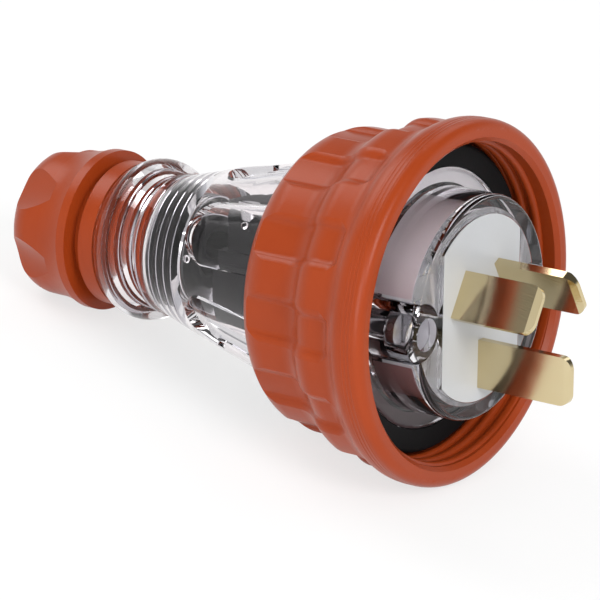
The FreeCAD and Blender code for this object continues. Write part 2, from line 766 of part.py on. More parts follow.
def recess_path(body):
    """The line that a gap between two pads follows over both tiers, up and out at the lip."""
    sketch = new_sketch(body, "XZ_Plane")
    low, high = f"({REAR_TIER_RADIUS} - recess_depth)", "(front_tier_radius - recess_depth)"
    end = "(lip_back + lip_ramp)"
    corners = [
        ("-ring_back - 1", low),
        ("-tier_middle - tier_ramp / 2", low),
        *ramp("tier_middle + tier_ramp / 2", "tier_middle - tier_ramp / 2", low, high),
        (f"-{end} - recess_end_length / 2", high),
        (f"-{end} + recess_end_length / 2", f"{high} + recess_end_rise", "recess_end_arc", "left"),
    ]
    draw(sketch, corners, closed=False)
    return sketch


def make_coupling_ring():
    """The orange ring: two tiers of finger pads, a rounded lip, and a shoulder behind the flange."""
    body = new_body("coupling_ring")
    shoulder = f"({BODY_FLANGE_BACK} + ring_play)"
    inner_back = "(ring_back - rear_wall)"
    rear_bore = f"({HUB_RADIUS} - ({inner_back} - {TAPER_FRONT}) * {TAPER_SLOPE} + rear_bore_play)"
    revolve(body, [
        ("-ring_front", f"{MOUTH_RADIUS} + mouth_chamfer"),
        ("-ring_front - mouth_chamfer", MOUTH_RADIUS),
        (f"-{shoulder}", MOUTH_RADIUS),
        (f"-{shoulder}", f"{HUB_RADIUS} + 2 * ring_play"),
        (f"-{inner_back}", f"{HUB_RADIUS} + 2 * ring_play"),
        (f"-{inner_back}", rear_bore),
        ("-ring_back", rear_bore),
        ("-ring_back", f"{rear_bore} + ring_back_rim"),
        ("-ring_back + ring_back_round", REAR_TIER_RADIUS, "ring_back_arc", "right"),
        ("-tier_middle - tier_ramp / 2", REAR_TIER_RADIUS),
        *ramp("tier_middle + tier_ramp / 2", "tier_middle - tier_ramp / 2", REAR_TIER_RADIUS,
              "front_tier_radius"),
        ("-lip_back - lip_ramp", "front_tier_radius"),
        *ramp("lip_back + lip_ramp", "lip_back", "front_tier_radius", LIP_RADIUS),
        ("-ring_front - lip_round", LIP_RADIUS),
        ("-ring_front", f"{LIP_RADIUS} - lip_round", "lip_round", "right"),
    ])
    recess = body.newObject("PartDesign::SubtractivePipe", "recess")
    recess.Profile = recess_section(body)
    recess.Spine = (recess_path(body), [])
    recess.Mode = "Fixed"
    repeat_round_axis(body, [recess], "recess_count")
    return body


def make_gland_nut():
    """The orange nut: lobed knob, flared rim, groove, front collar, and a stem into the body."""
    body = new_body("gland_nut")
    rim_front = "(rim_back - rim_thickness)"
    groove_front = f"({rim_front} - nut_groove_length)"
    revolve(body, [
        ("-nut_back", "nut_radius - nut_round"),
        ("-nut_back + nut_round", "nut_radius", "nut_round", "right"),
        ("-rim_back - flare_length", "nut_radius"),
        ("-rim_back", "nut_radius + rim_height", "flare_arc", "left"),
        (f"-{rim_front}", "nut_radius + rim_height"),
        (f"-{rim_front}", "nut_radius - nut_groove_depth"),
        (f"-{groove_front}", "nut_radius - nut_groove_depth"),
        (f"-{groove_front}", "nut_radius - nut_collar_inset"),
        (f"-{NUT_FRONT}", "nut_radius - nut_collar_inset"),
        (f"-{NUT_FRONT}", STEM_RADIUS),
        (f"-{STEM_FRONT}", STEM_RADIUS),
        (f"-{STEM_FRONT}", "cord_bore_radius"),
        ("-nut_back + cord_bore_round", "cord_bore_radius"),
        ("-nut_back", "cord_bore_radius + cord_bore_round", "cord_bore_round", "left"),
    ])
    sketch = new_sketch(body, "YZ_Plane", offset=("0", "0", "-nut_back"), tilt="-lobe_tilt")
    draw_circle(sketch, "0", "nut_radius - lobe_depth + lobe_cutter_radius", "lobe_cutter_radius")
    scallop = pocket(body, sketch, "nut_back - rim_back", towards_normal=True)
    repeat_round_axis(body, [scallop], "lobe_count")
    return body


def make_gland_washer():
    """The slip washer that the nut's stem pushes."""
    body = new_body("gland_washer")
    back, front = f"-{WASHER_BACK}", f"-{WASHER_BACK} + washer_thickness"
    revolve(body, box_corners(back, "cord_bore_radius", front, STEM_RADIUS))
    return body


def make_cable_grommet():
    """The rubber sleeve that closes on the cord, in its conical seat."""
    body = new_body("cable_grommet")
    outer = f"{GLAND_BORE_RADIUS} - grommet_play"
    revolve(body, [
        (f"-{GROMMET_BACK}", "grommet_bore_radius"),
        (f"-{SEAT_FRONT}", "grommet_bore_radius"),
        (f"-{SEAT_FRONT}", "seat_hole_radius - grommet_play"),
        (f"-{SEAT_BACK}", outer),
        (f"-{GROMMET_BACK}", outer),
    ])
    return body


def make_group(name, screw, placements):
    """Like screws as one piece of several solids."""
    group = doc.addObject("Part::Feature", name)
    group.Label = name
    solids = [screw.Shape.transformGeometry(place.toMatrix()) for place in placements]
    group.Shape = Part.makeCompound(solids)
    return group


def turned_to(direction, point):
    """A placement that stands a screw's head at a point, facing a direction."""
    return FreeCAD.Placement(point, FreeCAD.Rotation(Z_AXIS, direction))


def make_screws():
    """The screws of the terminals, the cord clamp and the pin housing."""
    terminal_screw = make_screw("terminal_screw", "terminal_screw_radius", "terminal_screw_length",
                                "terminal_screw_head", "terminal_screw_proud")
    clamp_screw = make_screw("clamp_screw", "screw_radius",
                             "clamp_bridge_top - clamp_head_sunk + clamp_base_bottom",
                             "clamp_head_radius", "clamp_head_sunk")
    housing_screw = make_screw("housing_screw", "screw_radius", "screw_end - screw_head_back",
                               "screw_head_radius", "screw_head_height")
    doc.recompute()
    heads = {
        "left": FreeCAD.Vector(0, -1, 0),
        "right": FreeCAD.Vector(0, 1, 0),
        "earth": FreeCAD.Vector(0, 0, -1),
    }
    reach = {"left": "terminal_depth / 2", "right": "terminal_depth / 2", "earth": "terminal_width / 2"}
    places = []
    for seat, head in heads.items():
        face = FreeCAD.Vector(-value("terminal_screw_station"), 0, 0) + head * value(reach[seat])
        places.append(seat_placement(seat) * turned_to(head, face))
    terminal_screws = make_group("terminal_screws", terminal_screw, places)
    middle = -value("(clamp_front + clamp_back) / 2")
    height = value("clamp_bridge_top - clamp_head_sunk")
    clamp_screws = make_group("clamp_screws", clamp_screw, [
        turned_to(Z_AXIS, FreeCAD.Vector(middle, side * value("clamp_screw_side"), height))
        for side in (-1, 1)])
    housing_screws = make_group("housing_screws", housing_screw, [
        turned_to(X_AXIS, FreeCAD.Vector(-value("screw_head_back"), side * value(BOSS_SIDE),
                                         -value("boss_down")))
        for side in (-1, 1)])
    return [terminal_screws, clamp_screws, housing_screws]


# Resting place

def lowest(shape, tilt):
    """How low a shape reaches when the plug's pins are tilted up."""
    turned = shape.copy()
    turned.rotate(FreeCAD.Vector(0, 0, 0), Y_AXIS, -tilt)
    return turned.optimalBoundingBox(False).ZMin


def resting_tilt(ring, nut):
    """The tilt at which the coupling ring and the gland nut touch a table together."""
    low, high = 0.0, 30.0
    for _ in range(18):
        middle = (low + high) / 2
        if lowest(ring, middle) < lowest(nut, middle):
            low = middle
        else:
            high = middle
    return low


def lay_down(pieces):
    """Tilt the plug as it lies on a table, over the middle of its own box."""
    ring, nut = pieces["coupling_ring"], pieces["gland_nut"]
    tilt = resting_tilt(ring.Shape, nut.Shape)
    turn = FreeCAD.Placement(FreeCAD.Vector(0, 0, 0), FreeCAD.Rotation(Y_AXIS, -tilt))
    for piece in pieces.values():
        piece.Placement = turn * piece.Placement
    box = Part.makeCompound([piece.Shape for piece in pieces.values()]).optimalBoundingBox(False)
    drop = FreeCAD.Placement(FreeCAD.Vector(-box.Center.x, -box.Center.y, -box.ZMin), FreeCAD.Rotation())
    for piece in pieces.values():
        piece.Placement = drop * piece.Placement
    return tilt, drop.Base


def main():
    """Build every piece, lay the plug down and write one file a piece."""
    bodies = [
        make_coupling_ring(),
        make_rear_body(),
        make_pin_housing(),
        make_pin_carrier(),
        make_pin("live_pin_left", "live_length"),
        make_pin("live_pin_right", "live_length"),
        make_pin("earth_pin", "earth_length"),
        make_terminal("terminal_left", "XZ_Plane", True),
        make_terminal("terminal_right", "XZ_Plane", False),
        make_terminal("terminal_earth", "XY_Plane", False),
        make_terminal_shroud(),
        make_clamp_bridge(),
        make_flange_seal(),
        make_housing_o_ring(),
        make_gland_nut(),
        make_gland_washer(),
        make_cable_grommet(),
    ]
    bodies += make_screws()
    doc.recompute()
    pieces = {piece.Label: piece for piece in bodies}
    for item in doc.Objects:
        if "Invalid" in item.State or "Error" in item.State:
            raise RuntimeError(f"{item.Name} failed: {item.State}")
    for seat, names in (("left", ("live_pin_left", "terminal_left")),
                        ("right", ("live_pin_right", "terminal_right")),
                        ("earth", ("earth_pin", "terminal_earth"))):
        for name in names:
            pieces[name].Placement = seat_placement(seat)
    pieces["coupling_ring"].Placement = FreeCAD.Placement(
        FreeCAD.Vector(), FreeCAD.Rotation(X_AXIS, value("recess_turn")))
    pieces["gland_nut"].Placement = FreeCAD.Placement(
        FreeCAD.Vector(), FreeCAD.Rotation(X_AXIS, value("lobe_turn")))
    pieces["housing_o_ring"].Placement = FreeCAD.Placement(
        FreeCAD.Vector(-value(O_RING_STATION), 0, 0), FreeCAD.Rotation(Y_AXIS, 90))
    tilt, shift = lay_down(pieces)
    print(f"tilt {tilt:.4f} degrees, face centre at {shift.x:.4f} {shift.y:.4f} {shift.z:.4f}")
    os.makedirs("parts", exist_ok=True)
    for name, piece in pieces.items():
        if piece.Shape.isNull() or not piece.Shape.isValid():
            raise RuntimeError(f"{name} has no valid shape")
        piece.Shape.exportStep(f"parts/{name}.step")
        print(f"{name}: {len(piece.Shape.Solids)} solids, {piece.Shape.Volume:.1f} mm3")


main()
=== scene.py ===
"""Looks, studio and camera of a straight three-pin industrial plug with a clear body.

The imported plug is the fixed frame. Sizes here are millimetres about the plug's own axis: x runs
towards the pins and is 0 at the face that they stand on, and the earth pin is below. PlugFrame turns
them into the row's metres. Each sub-assembly adds the fine forms of its pieces, such as threads and
moulding marks, and dresses the nodes that it is made of.
"""

import json
import logging
import math
from dataclasses import dataclass, field
from enum import Enum

import bpy
from mathutils import Matrix, Vector


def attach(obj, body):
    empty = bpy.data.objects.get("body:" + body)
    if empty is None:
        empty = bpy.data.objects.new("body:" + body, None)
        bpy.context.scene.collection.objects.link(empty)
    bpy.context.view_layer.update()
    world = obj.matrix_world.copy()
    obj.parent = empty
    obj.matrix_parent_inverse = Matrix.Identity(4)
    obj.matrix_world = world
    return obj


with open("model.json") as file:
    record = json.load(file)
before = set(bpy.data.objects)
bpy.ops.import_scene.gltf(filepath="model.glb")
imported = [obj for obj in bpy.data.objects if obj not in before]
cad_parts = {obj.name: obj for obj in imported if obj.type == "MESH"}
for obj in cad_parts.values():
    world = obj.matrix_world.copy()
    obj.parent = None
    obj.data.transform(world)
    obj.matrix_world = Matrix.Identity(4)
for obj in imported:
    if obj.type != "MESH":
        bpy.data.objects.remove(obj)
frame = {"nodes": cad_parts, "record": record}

log = logging.getLogger("industrial_plug")

Colour = tuple[float, float, float]
Pair = tuple[float, float]
Place = tuple[float, float, float]
Face = tuple[int, ...]

MILLIMETRE = 0.001


class Side(Enum):
    """Which way a ridge stands on a round wall."""

    OUTWARD = 1
    INWARD = -1


class Slot(Enum):
    """The record's material slots."""

    ORANGE = "orange_plastic"
    CLEAR = "clear_plastic"
    WHITE = "white_plastic"
    STEEL = "screw_steel"


class Body(Enum):
    """The frame's bodies that added pieces ride on."""

    SHELL = "shell"
    RING = "ring"
    NUT = "nut"


# Place in the row


@dataclass(frozen=True)
class PlugFrame:
    """The plug's own axes in the row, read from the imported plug's face.

    Attributes:
        face: The middle of the face that the pins stand on, in metres.
        tilt: How far the plug's axis rises above the row's X, in radians.
    """

    face: Vector
    tilt: float

    @classmethod
    def from_record(cls, record: dict) -> "PlugFrame":
        """Read the plug's place from the mount on its face.

        Args:
            record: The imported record.

        Returns:
            The frame of the plug's own axes.
        """
        mount = next(item for item in record["mounts"] if item["name"] == "plug_face")
        axis = mount["axis"]
        return cls(Vector(mount["pos_m"]), math.atan2(axis[2], axis[0]))

    @property
    def matrix(self) -> Matrix:
        """The matrix from millimetres about the plug's axis to the row's metres."""
        turn = Matrix.Rotation(-self.tilt, 4, "Y")
        return Matrix.Translation(self.face) @ turn @ Matrix.Scale(MILLIMETRE, 4)

    def point(self, x: float, y: float, z: float) -> Vector:
        """A place about the plug's axis as a place in the row."""
        return self.matrix @ Vector((x, y, z))


# Shader building blocks


class Nodes:
    """A node tree whose nodes are added and joined with short calls."""

    def __init__(self, tree: bpy.types.NodeTree) -> None:
        """Work on a tree.

        Args:
            tree: The tree of a material, a world or a node group.
        """
        self.tree = tree

    def add(self, kind: str, **settings: object) -> bpy.types.Node:
        """Add a node and set its properties.

        Args:
            kind: The node's type name.
            **settings: Values for the node's own properties.

        Returns:
            The new node.
        """
        node = self.tree.nodes.new(kind)
        for key, setting in settings.items():
            setattr(node, key, setting)
        return node

    def join(self, source: bpy.types.NodeSocket, target: bpy.types.NodeSocket) -> None:
        """Link two sockets."""
        self.tree.links.new(source, target)

    def between(self, mask: bpy.types.NodeSocket, low: float, high: float) -> bpy.types.NodeSocket:
        """Turn a mask into a value between two others.

        Args:
            mask: A number from 0 to 1.
            low: The value where the mask is 0.
            high: The value where it is 1.

        Returns:
            The value's socket.
        """
        node = self.add("ShaderNodeMapRange")
        node.inputs["To Min"].default_value = low
        node.inputs["To Max"].default_value = high
        self.join(mask, node.inputs["Value"])
        return node.outputs["Result"]

    def larger(self, one: bpy.types.NodeSocket, other: bpy.types.NodeSocket) -> bpy.types.NodeSocket:
        """Take the larger of two numbers.

        Args:
            one: One number.
            other: The other.

        Returns:
            The larger number's socket.
        """
        node = self.add("ShaderNodeMath", operation="MAXIMUM")
        self.join(one, node.inputs[0])
        self.join(other, node.inputs[1])
        return node.outputs["Value"]

    def background_seen(self) -> bpy.types.NodeSocket:
        """Mask the rays that show the background.

        Returns:
            The socket of a mask that is 1 for rays from the camera, a reflection or a clear piece.
        """
        path = self.add("ShaderNodeLightPath")
        mask = path.outputs["Is Camera Ray"]
        for ray in ("Is Glossy Ray", "Is Transmission Ray"):
            mask = self.larger(mask, path.outputs[ray])
        return mask


class Shader(Nodes):
    """The nodes of a material that starts with only its surface and output."""

    def __init__(self, name: str) -> None:
        """Start a material.

        Args:
            name: The material's name.
        """
        self.material = bpy.data.materials.new(name)
        self.material.use_nodes = True
        super().__init__(self.material.node_tree)
        self.surface = self.tree.nodes["Principled BSDF"]
        self.output = self.tree.nodes["Material Output"]

    def group(self, tree: bpy.types.NodeTree, **values: float) -> bpy.types.Node:
        """Place a shared effect in the material.

        Args:
            tree: The effect's node group.
            **values: Input values, with the sockets' names in lower case and underscores.

        Returns:
            The group's node.
        """
        node = self.add("ShaderNodeGroup", node_tree=tree)
        for key, value in values.items():
            node.inputs[key.replace("_", " ").title()].default_value = value
        return node

    def colour(self, mask: bpy.types.NodeSocket, low: Colour, high: Colour) -> None:
        """Colour the surface by a mask.

        Args:
            mask: A number from 0 to 1.
            low: The colour where the mask is 0.
            high: The colour where it is 1.
        """
        node = self.add("ShaderNodeMix", data_type="RGBA")
        node.inputs["A"].default_value = (*low, 1)
        node.inputs["B"].default_value = (*high, 1)
        self.join(mask, node.inputs["Factor"])
        self.join(node.outputs["Result"], self.surface.inputs["Base Color"])

    def roughen(self, mask: bpy.types.NodeSocket, smooth: float, dull: float) -> None:
        """Set the surface's roughness by a mask, from smooth at 0 to dull at 1."""
        self.join(self.between(mask, smooth, dull), self.surface.inputs["Roughness"])

    def bump(self, height: bpy.types.NodeSocket, depth: float) -> None:
        """Raise the surface by a height.

        Args:
            height: A number from 0 to 1.
            depth: How far the surface rises where the height is 1, in metres.
        """
        node = self.add("ShaderNodeBump")
        node.inputs["Distance"].default_value = depth
        self.join(height, node.inputs["Height"])
        self.join(node.outputs["Normal"], self.surface.inputs["Normal"])

    def mix_in(self, share: bpy.types.NodeSocket, other: bpy.types.NodeSocket) -> None:
        """Give a share of the surface to another shader.

        Args:
            share: The other shader's share, from 0 to 1.
            other: The other shader.
        """
        mix = self.add("ShaderNodeMixShader")
        self.join(share, mix.inputs["Fac"])
        self.join(self.surface.outputs["BSDF"], mix.inputs[1])
        self.join(other, mix.inputs[2])
        self.join(mix.outputs["Shader"], self.output.inputs["Surface"])


class Effect(Nodes):
    """The nodes of a shared effect with number sockets."""

    def __init__(self, name: str, inputs: dict[str, float], outputs: tuple[str, ...]) -> None:
        """Start an effect.

        Args:
            name: The effect's name.
            inputs: Each input's name and its usual value.
            outputs: Each output's name.
        """
        super().__init__(bpy.data.node_groups.new(name, "ShaderNodeTree"))
        for label, usual in inputs.items():
            socket = self.tree.interface.new_socket(label, in_out="INPUT", socket_type="NodeSocketFloat")
            socket.default_value = usual
        for label in outputs:
            self.tree.interface.new_socket(label, in_out="OUTPUT", socket_type="NodeSocketFloat")
        self.given = self.add("NodeGroupInput").outputs
        self.result = self.add("NodeGroupOutput").inputs
        self.place = self.add("ShaderNodeTexCoord").outputs["Object"]

    def noise(self, place: bpy.types.NodeSocket, detail: float = 2) -> bpy.types.Node:
        """Add a noise.

        Args:
            place: Where it is looked up.
            detail: How many finer layers it has.

        Returns:
            The noise's node.
        """
        node = self.add("ShaderNodeTexNoise")
        node.inputs["Detail"].default_value = detail
        self.join(place, node.inputs["Vector"])
        return node


def moulded_skin() -> bpy.types.NodeTree:
    """Make the fine grain and slow mottling of a moulded face, in sizes per metre.

    Returns:
        The node group, with a height and a mask.
    """
    effect = Effect("moulded_skin", {"Grain": 2600, "Mottle": 90}, ("Height", "Mask"))
    for label, result, detail in (("Grain", "Height", 2), ("Mottle", "Mask", 4)):
        noise = effect.noise(effect.place, detail)
        effect.join(effect.given[label], noise.inputs["Scale"])
        effect.join(noise.outputs["Fac"], effect.result[result])
    return effect.tree


def drawn_streaks() -> bpy.types.NodeTree:
    """Make the fine streaks along the plug's length that rolled and wiped metal has.

    Returns:
        The node group, with a height of streaks and a mask of blotches.
    """
    blotches_per_metre = 160
    effect = Effect("drawn_streaks", {"Fineness": 3000, "Stretch": 0.02}, ("Height", "Mask"))
    stretch = effect.add("ShaderNodeCombineXYZ")
    stretch.inputs["Y"].default_value = 1
    stretch.inputs["Z"].default_value = 1
    effect.join(effect.given["Stretch"], stretch.inputs["X"])
    scaled = effect.add("ShaderNodeVectorMath", operation="MULTIPLY")
    effect.join(effect.place, scaled.inputs[0])
    effect.join(stretch.outputs["Vector"], scaled.inputs[1])
    streaks = effect.noise(scaled.outputs["Vector"])
    effect.join(effect.given["Fineness"], streaks.inputs["Scale"])
    effect.join(streaks.outputs["Fac"], effect.result["Height"])
    blotches = effect.noise(effect.place)
    blotches.inputs["Scale"].default_value = blotches_per_metre
    effect.join(blotches.outputs["Fac"], effect.result["Mask"])
    return effect.tree


@dataclass(frozen=True)
class Effects:
    """The effects that more than one finish uses."""

    skin: bpy.types.NodeTree
    streaks: bpy.types.NodeTree

    @classmethod
    def build(cls) -> "Effects":
        """Make each effect once."""
        return cls(moulded_skin(), drawn_streaks())


# Finishes


@dataclass(frozen=True)
class MouldedFinish:
    """An opaque moulded plastic or rubber.

    Attributes:
        name: The material's name.
        dark: The colour in the mottling's low parts.
        light: The colour in its high parts.
        smooth: The lowest roughness.
        dull: The highest roughness.
        shine: How strongly it mirrors; 0.5 is usual for plastic.
        grain: How many grains there are to a metre.
        depth: How deep the grain is, in metres.
    """

    name: str
    dark: Colour
    light: Colour
    smooth: float
    dull: float
    shine: float = 0.5
    grain: float = 2600
    depth: float = 0.00002

    def build(self, effects: Effects) -> bpy.types.Material:
        """Make the material.

        Args:
            effects: The shared effects.

        Returns:
            The finished material.
        """
        shader = Shader(self.name)
        skin = shader.group(effects.skin, grain=self.grain)
        shader.surface.inputs["Specular IOR Level"].default_value = self.shine
        shader.colour(skin.outputs["Mask"], self.dark, self.light)
        shader.roughen(skin.outputs["Mask"], self.smooth, self.dull)
        shader.bump(skin.outputs["Height"], self.depth)
        return shader.material


@dataclass(frozen=True)
class ShadePaintedFinish:
    """A plain moulded plastic with painted shade: its colour darkens from its top towards its bottom,
    where shade falls on it.

    Attributes:
        name: The material's name.
        low: The colour at the bottom, darkened as painted shade.
        high: The colour at the top.
        bottom: The height in the row where it starts to change, in metres.
        top: The height where it has changed, in metres.
        roughness: Its roughness.
        depth: How deep its grain is, in metres.
    """

    name: str
    low: Colour
    high: Colour
    bottom: float
    top: float
    roughness: float
    depth: float = 0.00002

    def build(self, effects: Effects) -> bpy.types.Material:
        """Make the material.

        Args:
            effects: The shared effects.

        Returns:
            The finished material.
        """
        shader = Shader(self.name)
        skin = shader.group(effects.skin)
        place = shader.add("ShaderNodeTexCoord")
        parts = shader.add("ShaderNodeSeparateXYZ")
        shader.join(place.outputs["Object"], parts.inputs["Vector"])
        # The colour darkens from the top height down to the bottom one: painted shade.
        fade = shader.add("ShaderNodeMapRange", interpolation_type="SMOOTHSTEP")
        fade.inputs["From Min"].default_value = self.bottom
        fade.inputs["From Max"].default_value = self.top
        shader.join(parts.outputs["Z"], fade.inputs["Value"])
        shader.surface.inputs["Roughness"].default_value = self.roughness
        shader.colour(fade.outputs["Result"], self.low, self.high)
        shader.bump(skin.outputs["Height"], self.depth)
        return shader.material


@dataclass(frozen=True)
class ClearFinish:
    """A polished clear plastic.

    Attributes:
        name: The material's name.
        tint: The light that passes one surface.
        smooth: The lowest roughness.
        dull: The highest roughness.
        glare: The share of its mirrored light that stays where it is seen face on.
        index: How strongly the plastic bends light.
        waves: How many waves its surface has to a metre.
        depth: How deep the waves are, in metres.
        mottle: How many patches of roughness there are to a metre.
        bends: After how many turns light goes straight on through the plastic.
        haze: The light that passes one surface from there on.
    """

    name: str
    tint: Colour
    smooth: float
    dull: float
    glare: float = 0.14
    index: float = 1.5
    waves: float = 140
    depth: float = 0.00003
    mottle: float = 60
    bends: int = 4
    haze: Colour = (0.82, 0.82, 0.84)

    def build(self, effects: Effects) -> bpy.types.Material:
        """Make the material.

        Args:
            effects: The shared effects.

        Returns:
            The finished material.
        """
        shader = Shader(self.name)
        skin = shader.group(effects.skin, grain=self.waves, mottle=self.mottle)
        surface = shader.surface
        surface.inputs["Base Color"].default_value = (*self.tint, 1)
        surface.inputs["Specular Tint"].default_value = (self.glare, self.glare, self.glare, 1)
        surface.inputs["IOR"].default_value = self.index
        surface.inputs["Transmission Weight"].default_value = 1
        shader.roughen(skin.outputs["Mask"], self.smooth, self.dull)
        shader.bump(skin.outputs["Height"], self.depth)
        # The depth is a whole number, so the limit lies half way between two of them.
        path = shader.add("ShaderNodeLightPath")
        deep = shader.add("ShaderNodeMath", operation="GREATER_THAN")
        deep.inputs[1].default_value = self.bends - 0.5
        shader.join(path.outputs["Ray Depth"], deep.inputs[0])
        straight = shader.add("ShaderNodeBsdfTransparent")
        straight.inputs["Color"].default_value = (*self.haze, 1)
        shader.mix_in(deep.outputs["Value"], straight.outputs["BSDF"])
        return shader.material


@dataclass(frozen=True)
class MetalFinish:
    """A rolled or plated metal.

    Attributes:
        name: The material's name.
        dark: The colour in the darker blotches.
        light: The colour in the lighter ones.
        smooth: The lowest roughness.
        dull: The highest roughness.
        depth: How deep its streaks are, in metres.
    """

    name: str
    dark: Colour
    light: Colour
    smooth: float
    dull: float
    depth: float = 0.000008

    def build(self, effects: Effects) -> bpy.types.Material:
        """Make the material.

        Args:
            effects: The shared effects.

        Returns:
            The finished material.
        """
        shader = Shader(self.name)
        streaks = shader.group(effects.streaks)
        shader.surface.inputs["Metallic"].default_value = 1
        shader.colour(streaks.outputs["Mask"], self.dark, self.light)
        shader.roughen(streaks.outputs["Mask"], self.smooth, self.dull)
        shader.bump(streaks.outputs["Height"], self.depth)
        return shader.material


class Finishes:
    """Every finish of the plug, built once."""

    def __init__(self) -> None:
        """Build the shared effects and the materials."""
        effects = Effects.build()
        self.orange = MouldedFinish(
            "orange_plastic", dark=(0.285, 0.037, 0.0055), light=(0.33, 0.047, 0.0085),
            smooth=0.27, dull=0.38, shine=0.2).build(effects)
        self.white = MouldedFinish(
            "white_plastic", dark=(0.43, 0.44, 0.455), light=(0.48, 0.49, 0.505),
            smooth=0.26, dull=0.36).build(effects)
        # The skirt's dark, reddish bottom is painted shade under the coupling ring, with a painted
        # reflection of the ring's orange.
        self.skirt = ShadePaintedFinish(
            "skirt_plastic_painted_shade", low=(0.20, 0.105, 0.10), high=(0.57, 0.52, 0.53),
            bottom=0.028, top=0.047, roughness=0.4).build(effects)
        # The frosted ring is pale at the top and dark at the bottom: painted shade.
        self.frost = ShadePaintedFinish(
            "frosted_plastic_painted_shade", low=(0.10, 0.07, 0.075), high=(0.88, 0.87, 0.90),
            bottom=0.016, top=0.044, roughness=0.5).build(effects)
        self.black = MouldedFinish(
            "black_plastic", dark=(0.004, 0.004, 0.005), light=(0.008, 0.008, 0.009),
            smooth=0.4, dull=0.55, shine=0.12).build(effects)
        self.rubber = MouldedFinish(
            "black_rubber", dark=(0.004, 0.004, 0.0045), light=(0.008, 0.008, 0.0085),
            smooth=0.5, dull=0.7, shine=0.1, grain=1600).build(effects)
        self.washer = MouldedFinish(
            "washer_plastic", dark=(0.72, 0.72, 0.69), light=(0.8, 0.8, 0.77),
            smooth=0.4, dull=0.55).build(effects)
        # The clear plastic's slight purple tint is partly its own and partly a painted reflection of the
        # brass, orange and dark parts seen in it.
        self.clear = ClearFinish(
            "clear_plastic", tint=(0.965, 0.93, 0.94), smooth=0.0, dull=0.06).build(effects)
        self.brass = MetalFinish(
            "brass", dark=(0.64, 0.53, 0.30), light=(0.71, 0.60, 0.38),
            smooth=0.09, dull=0.18).build(effects)
        self.steel = MetalFinish(
            "screw_steel", dark=(0.55, 0.55, 0.56), light=(0.7, 0.7, 0.71),
            smooth=0.2, dull=0.35).build(effects)


# Shapes


@dataclass
class Form:
    """The corners and faces that a piece is gathered from.

    Attributes:
        plug: The plug's own axes.
        points: Its corners in the row.
        faces: The corners of each face.
    """

    plug: PlugFrame
    points: list[Place] = field(default_factory=list)
    faces: list[Face] = field(default_factory=list)

    def corner(self, x: float, y: float, z: float) -> None:
        """Add a corner at a place about the plug's axis."""
        self.points.append(tuple(self.plug.point(x, y, z)))

    def turned_corner(self, along: float, reach: float, angle: float, centre: Pair) -> None:
        """Add a corner at a distance and an angle from a line along the plug, given as (y, z)."""
        self.corner(along, centre[0] + reach * math.cos(angle), centre[1] + reach * math.sin(angle))

    def band(self, row: int, following: int, size: int) -> None:
        """Join two closed rows of corners with faces.

        Args:
            row: The first corner of one row.
            following: The first corner of the next row.
            size: How many corners each row has.
        """
        for corner in range(size):
            after = (corner + 1) % size
            self.faces.append((row + corner, following + corner, following + after, row + after))


class Shape:
    """Something that adds its corners and faces to a form."""

    def add_to(self, form: Form) -> None:
        """Add the shape's corners and faces to the form."""
        raise NotImplementedError


@dataclass(frozen=True)
class Ridge(Shape):
    """A rounded ridge wound right-handed round the plug's axis, or about a line along it.

    Attributes:
        radius: The wall that it stands on.
        start: Where its first turn begins, along the plug.
        turns: How many turns it has; one turn with no pitch is a closed ring.
        pitch: How far it moves towards the cord in a turn.
        width: Its width along the plug.
        height: How far it stands off the wall.
        side: Whether it stands outward or inward.
        centre: The line that it is wound about, as (y, z).
        steps: How many parts a turn has.
        section_steps: How many parts its rounded section has.
        fullness: The power that rounds its section; less is squarer.
        sunk: How far its feet reach into the wall, as a share of its height.
        run_out: How many of its heights an end would rise by in a turn.
        end_height: Its height at its very ends, as a share of its full height.
    """

    radius: float
    start: float
    turns: float
    pitch: float
    width: float
    height: float
    side: Side = Side.OUTWARD
    centre: Pair = (0.0, 0.0)
    steps: int = 120
    section_steps: int = 8
    fullness: float = 0.8
    sunk: float = 0.6
    run_out: float = 3.0
    end_height: float = 0.02

    @property
    def closed(self) -> bool:
        """Whether it is a ring that ends where it starts."""
        return self.pitch == 0

    def section(self) -> list[Pair]:
        """Draw the section from its front foot over its crest to its back foot.

        Returns:
            Places as (along, off the wall).
        """
        half, foot = self.width / 2, -self.height * self.sunk
        line = [(half, foot), (half, 0.0)]
        for step in range(1, self.section_steps):
            angle = math.pi * step / self.section_steps
            line.append((half * math.cos(angle), self.height * math.sin(angle) ** self.fullness))
        return [*line, (-half, 0.0), (-half, foot)]

    def rise(self, turn: float) -> float:
        """The share of its height that the ridge has after some turns."""
        near_end = min(turn, self.turns - turn)
        return 1.0 if self.closed else min(1.0, self.run_out * near_end + self.end_height)

    def add_to(self, form: Form) -> None:
        """Add the ridge to a form.

        Args:
            form: The form that it is added to.
        """
        section = self.section()
        size, first, first_face = len(section), len(form.points), len(form.faces)
        rows = round(self.steps * self.turns) + (0 if self.closed else 1)
        for row in range(rows):
            turn = row / self.steps
            rise = self.rise(turn)
            for along, off in section:
                reach = self.radius + self.side.value * (off * rise if off > 0 else off)
                form.turned_corner(self.start - self.pitch * turn + along, reach, -math.tau * turn,
                                   self.centre)
        for row in range(rows if self.closed else rows - 1):
            form.band(first + row * size, first + (row + 1) % rows * size, size)
        if not self.closed:
            last = first + (rows - 1) * size
            form.faces.append(tuple(first + corner for corner in range(size)))
            form.faces.append(tuple(last + corner for corner in reversed(range(size))))
        if self.side is Side.INWARD:
            form.faces[first_face:] = [face[::-1] for face in form.faces[first_face:]]


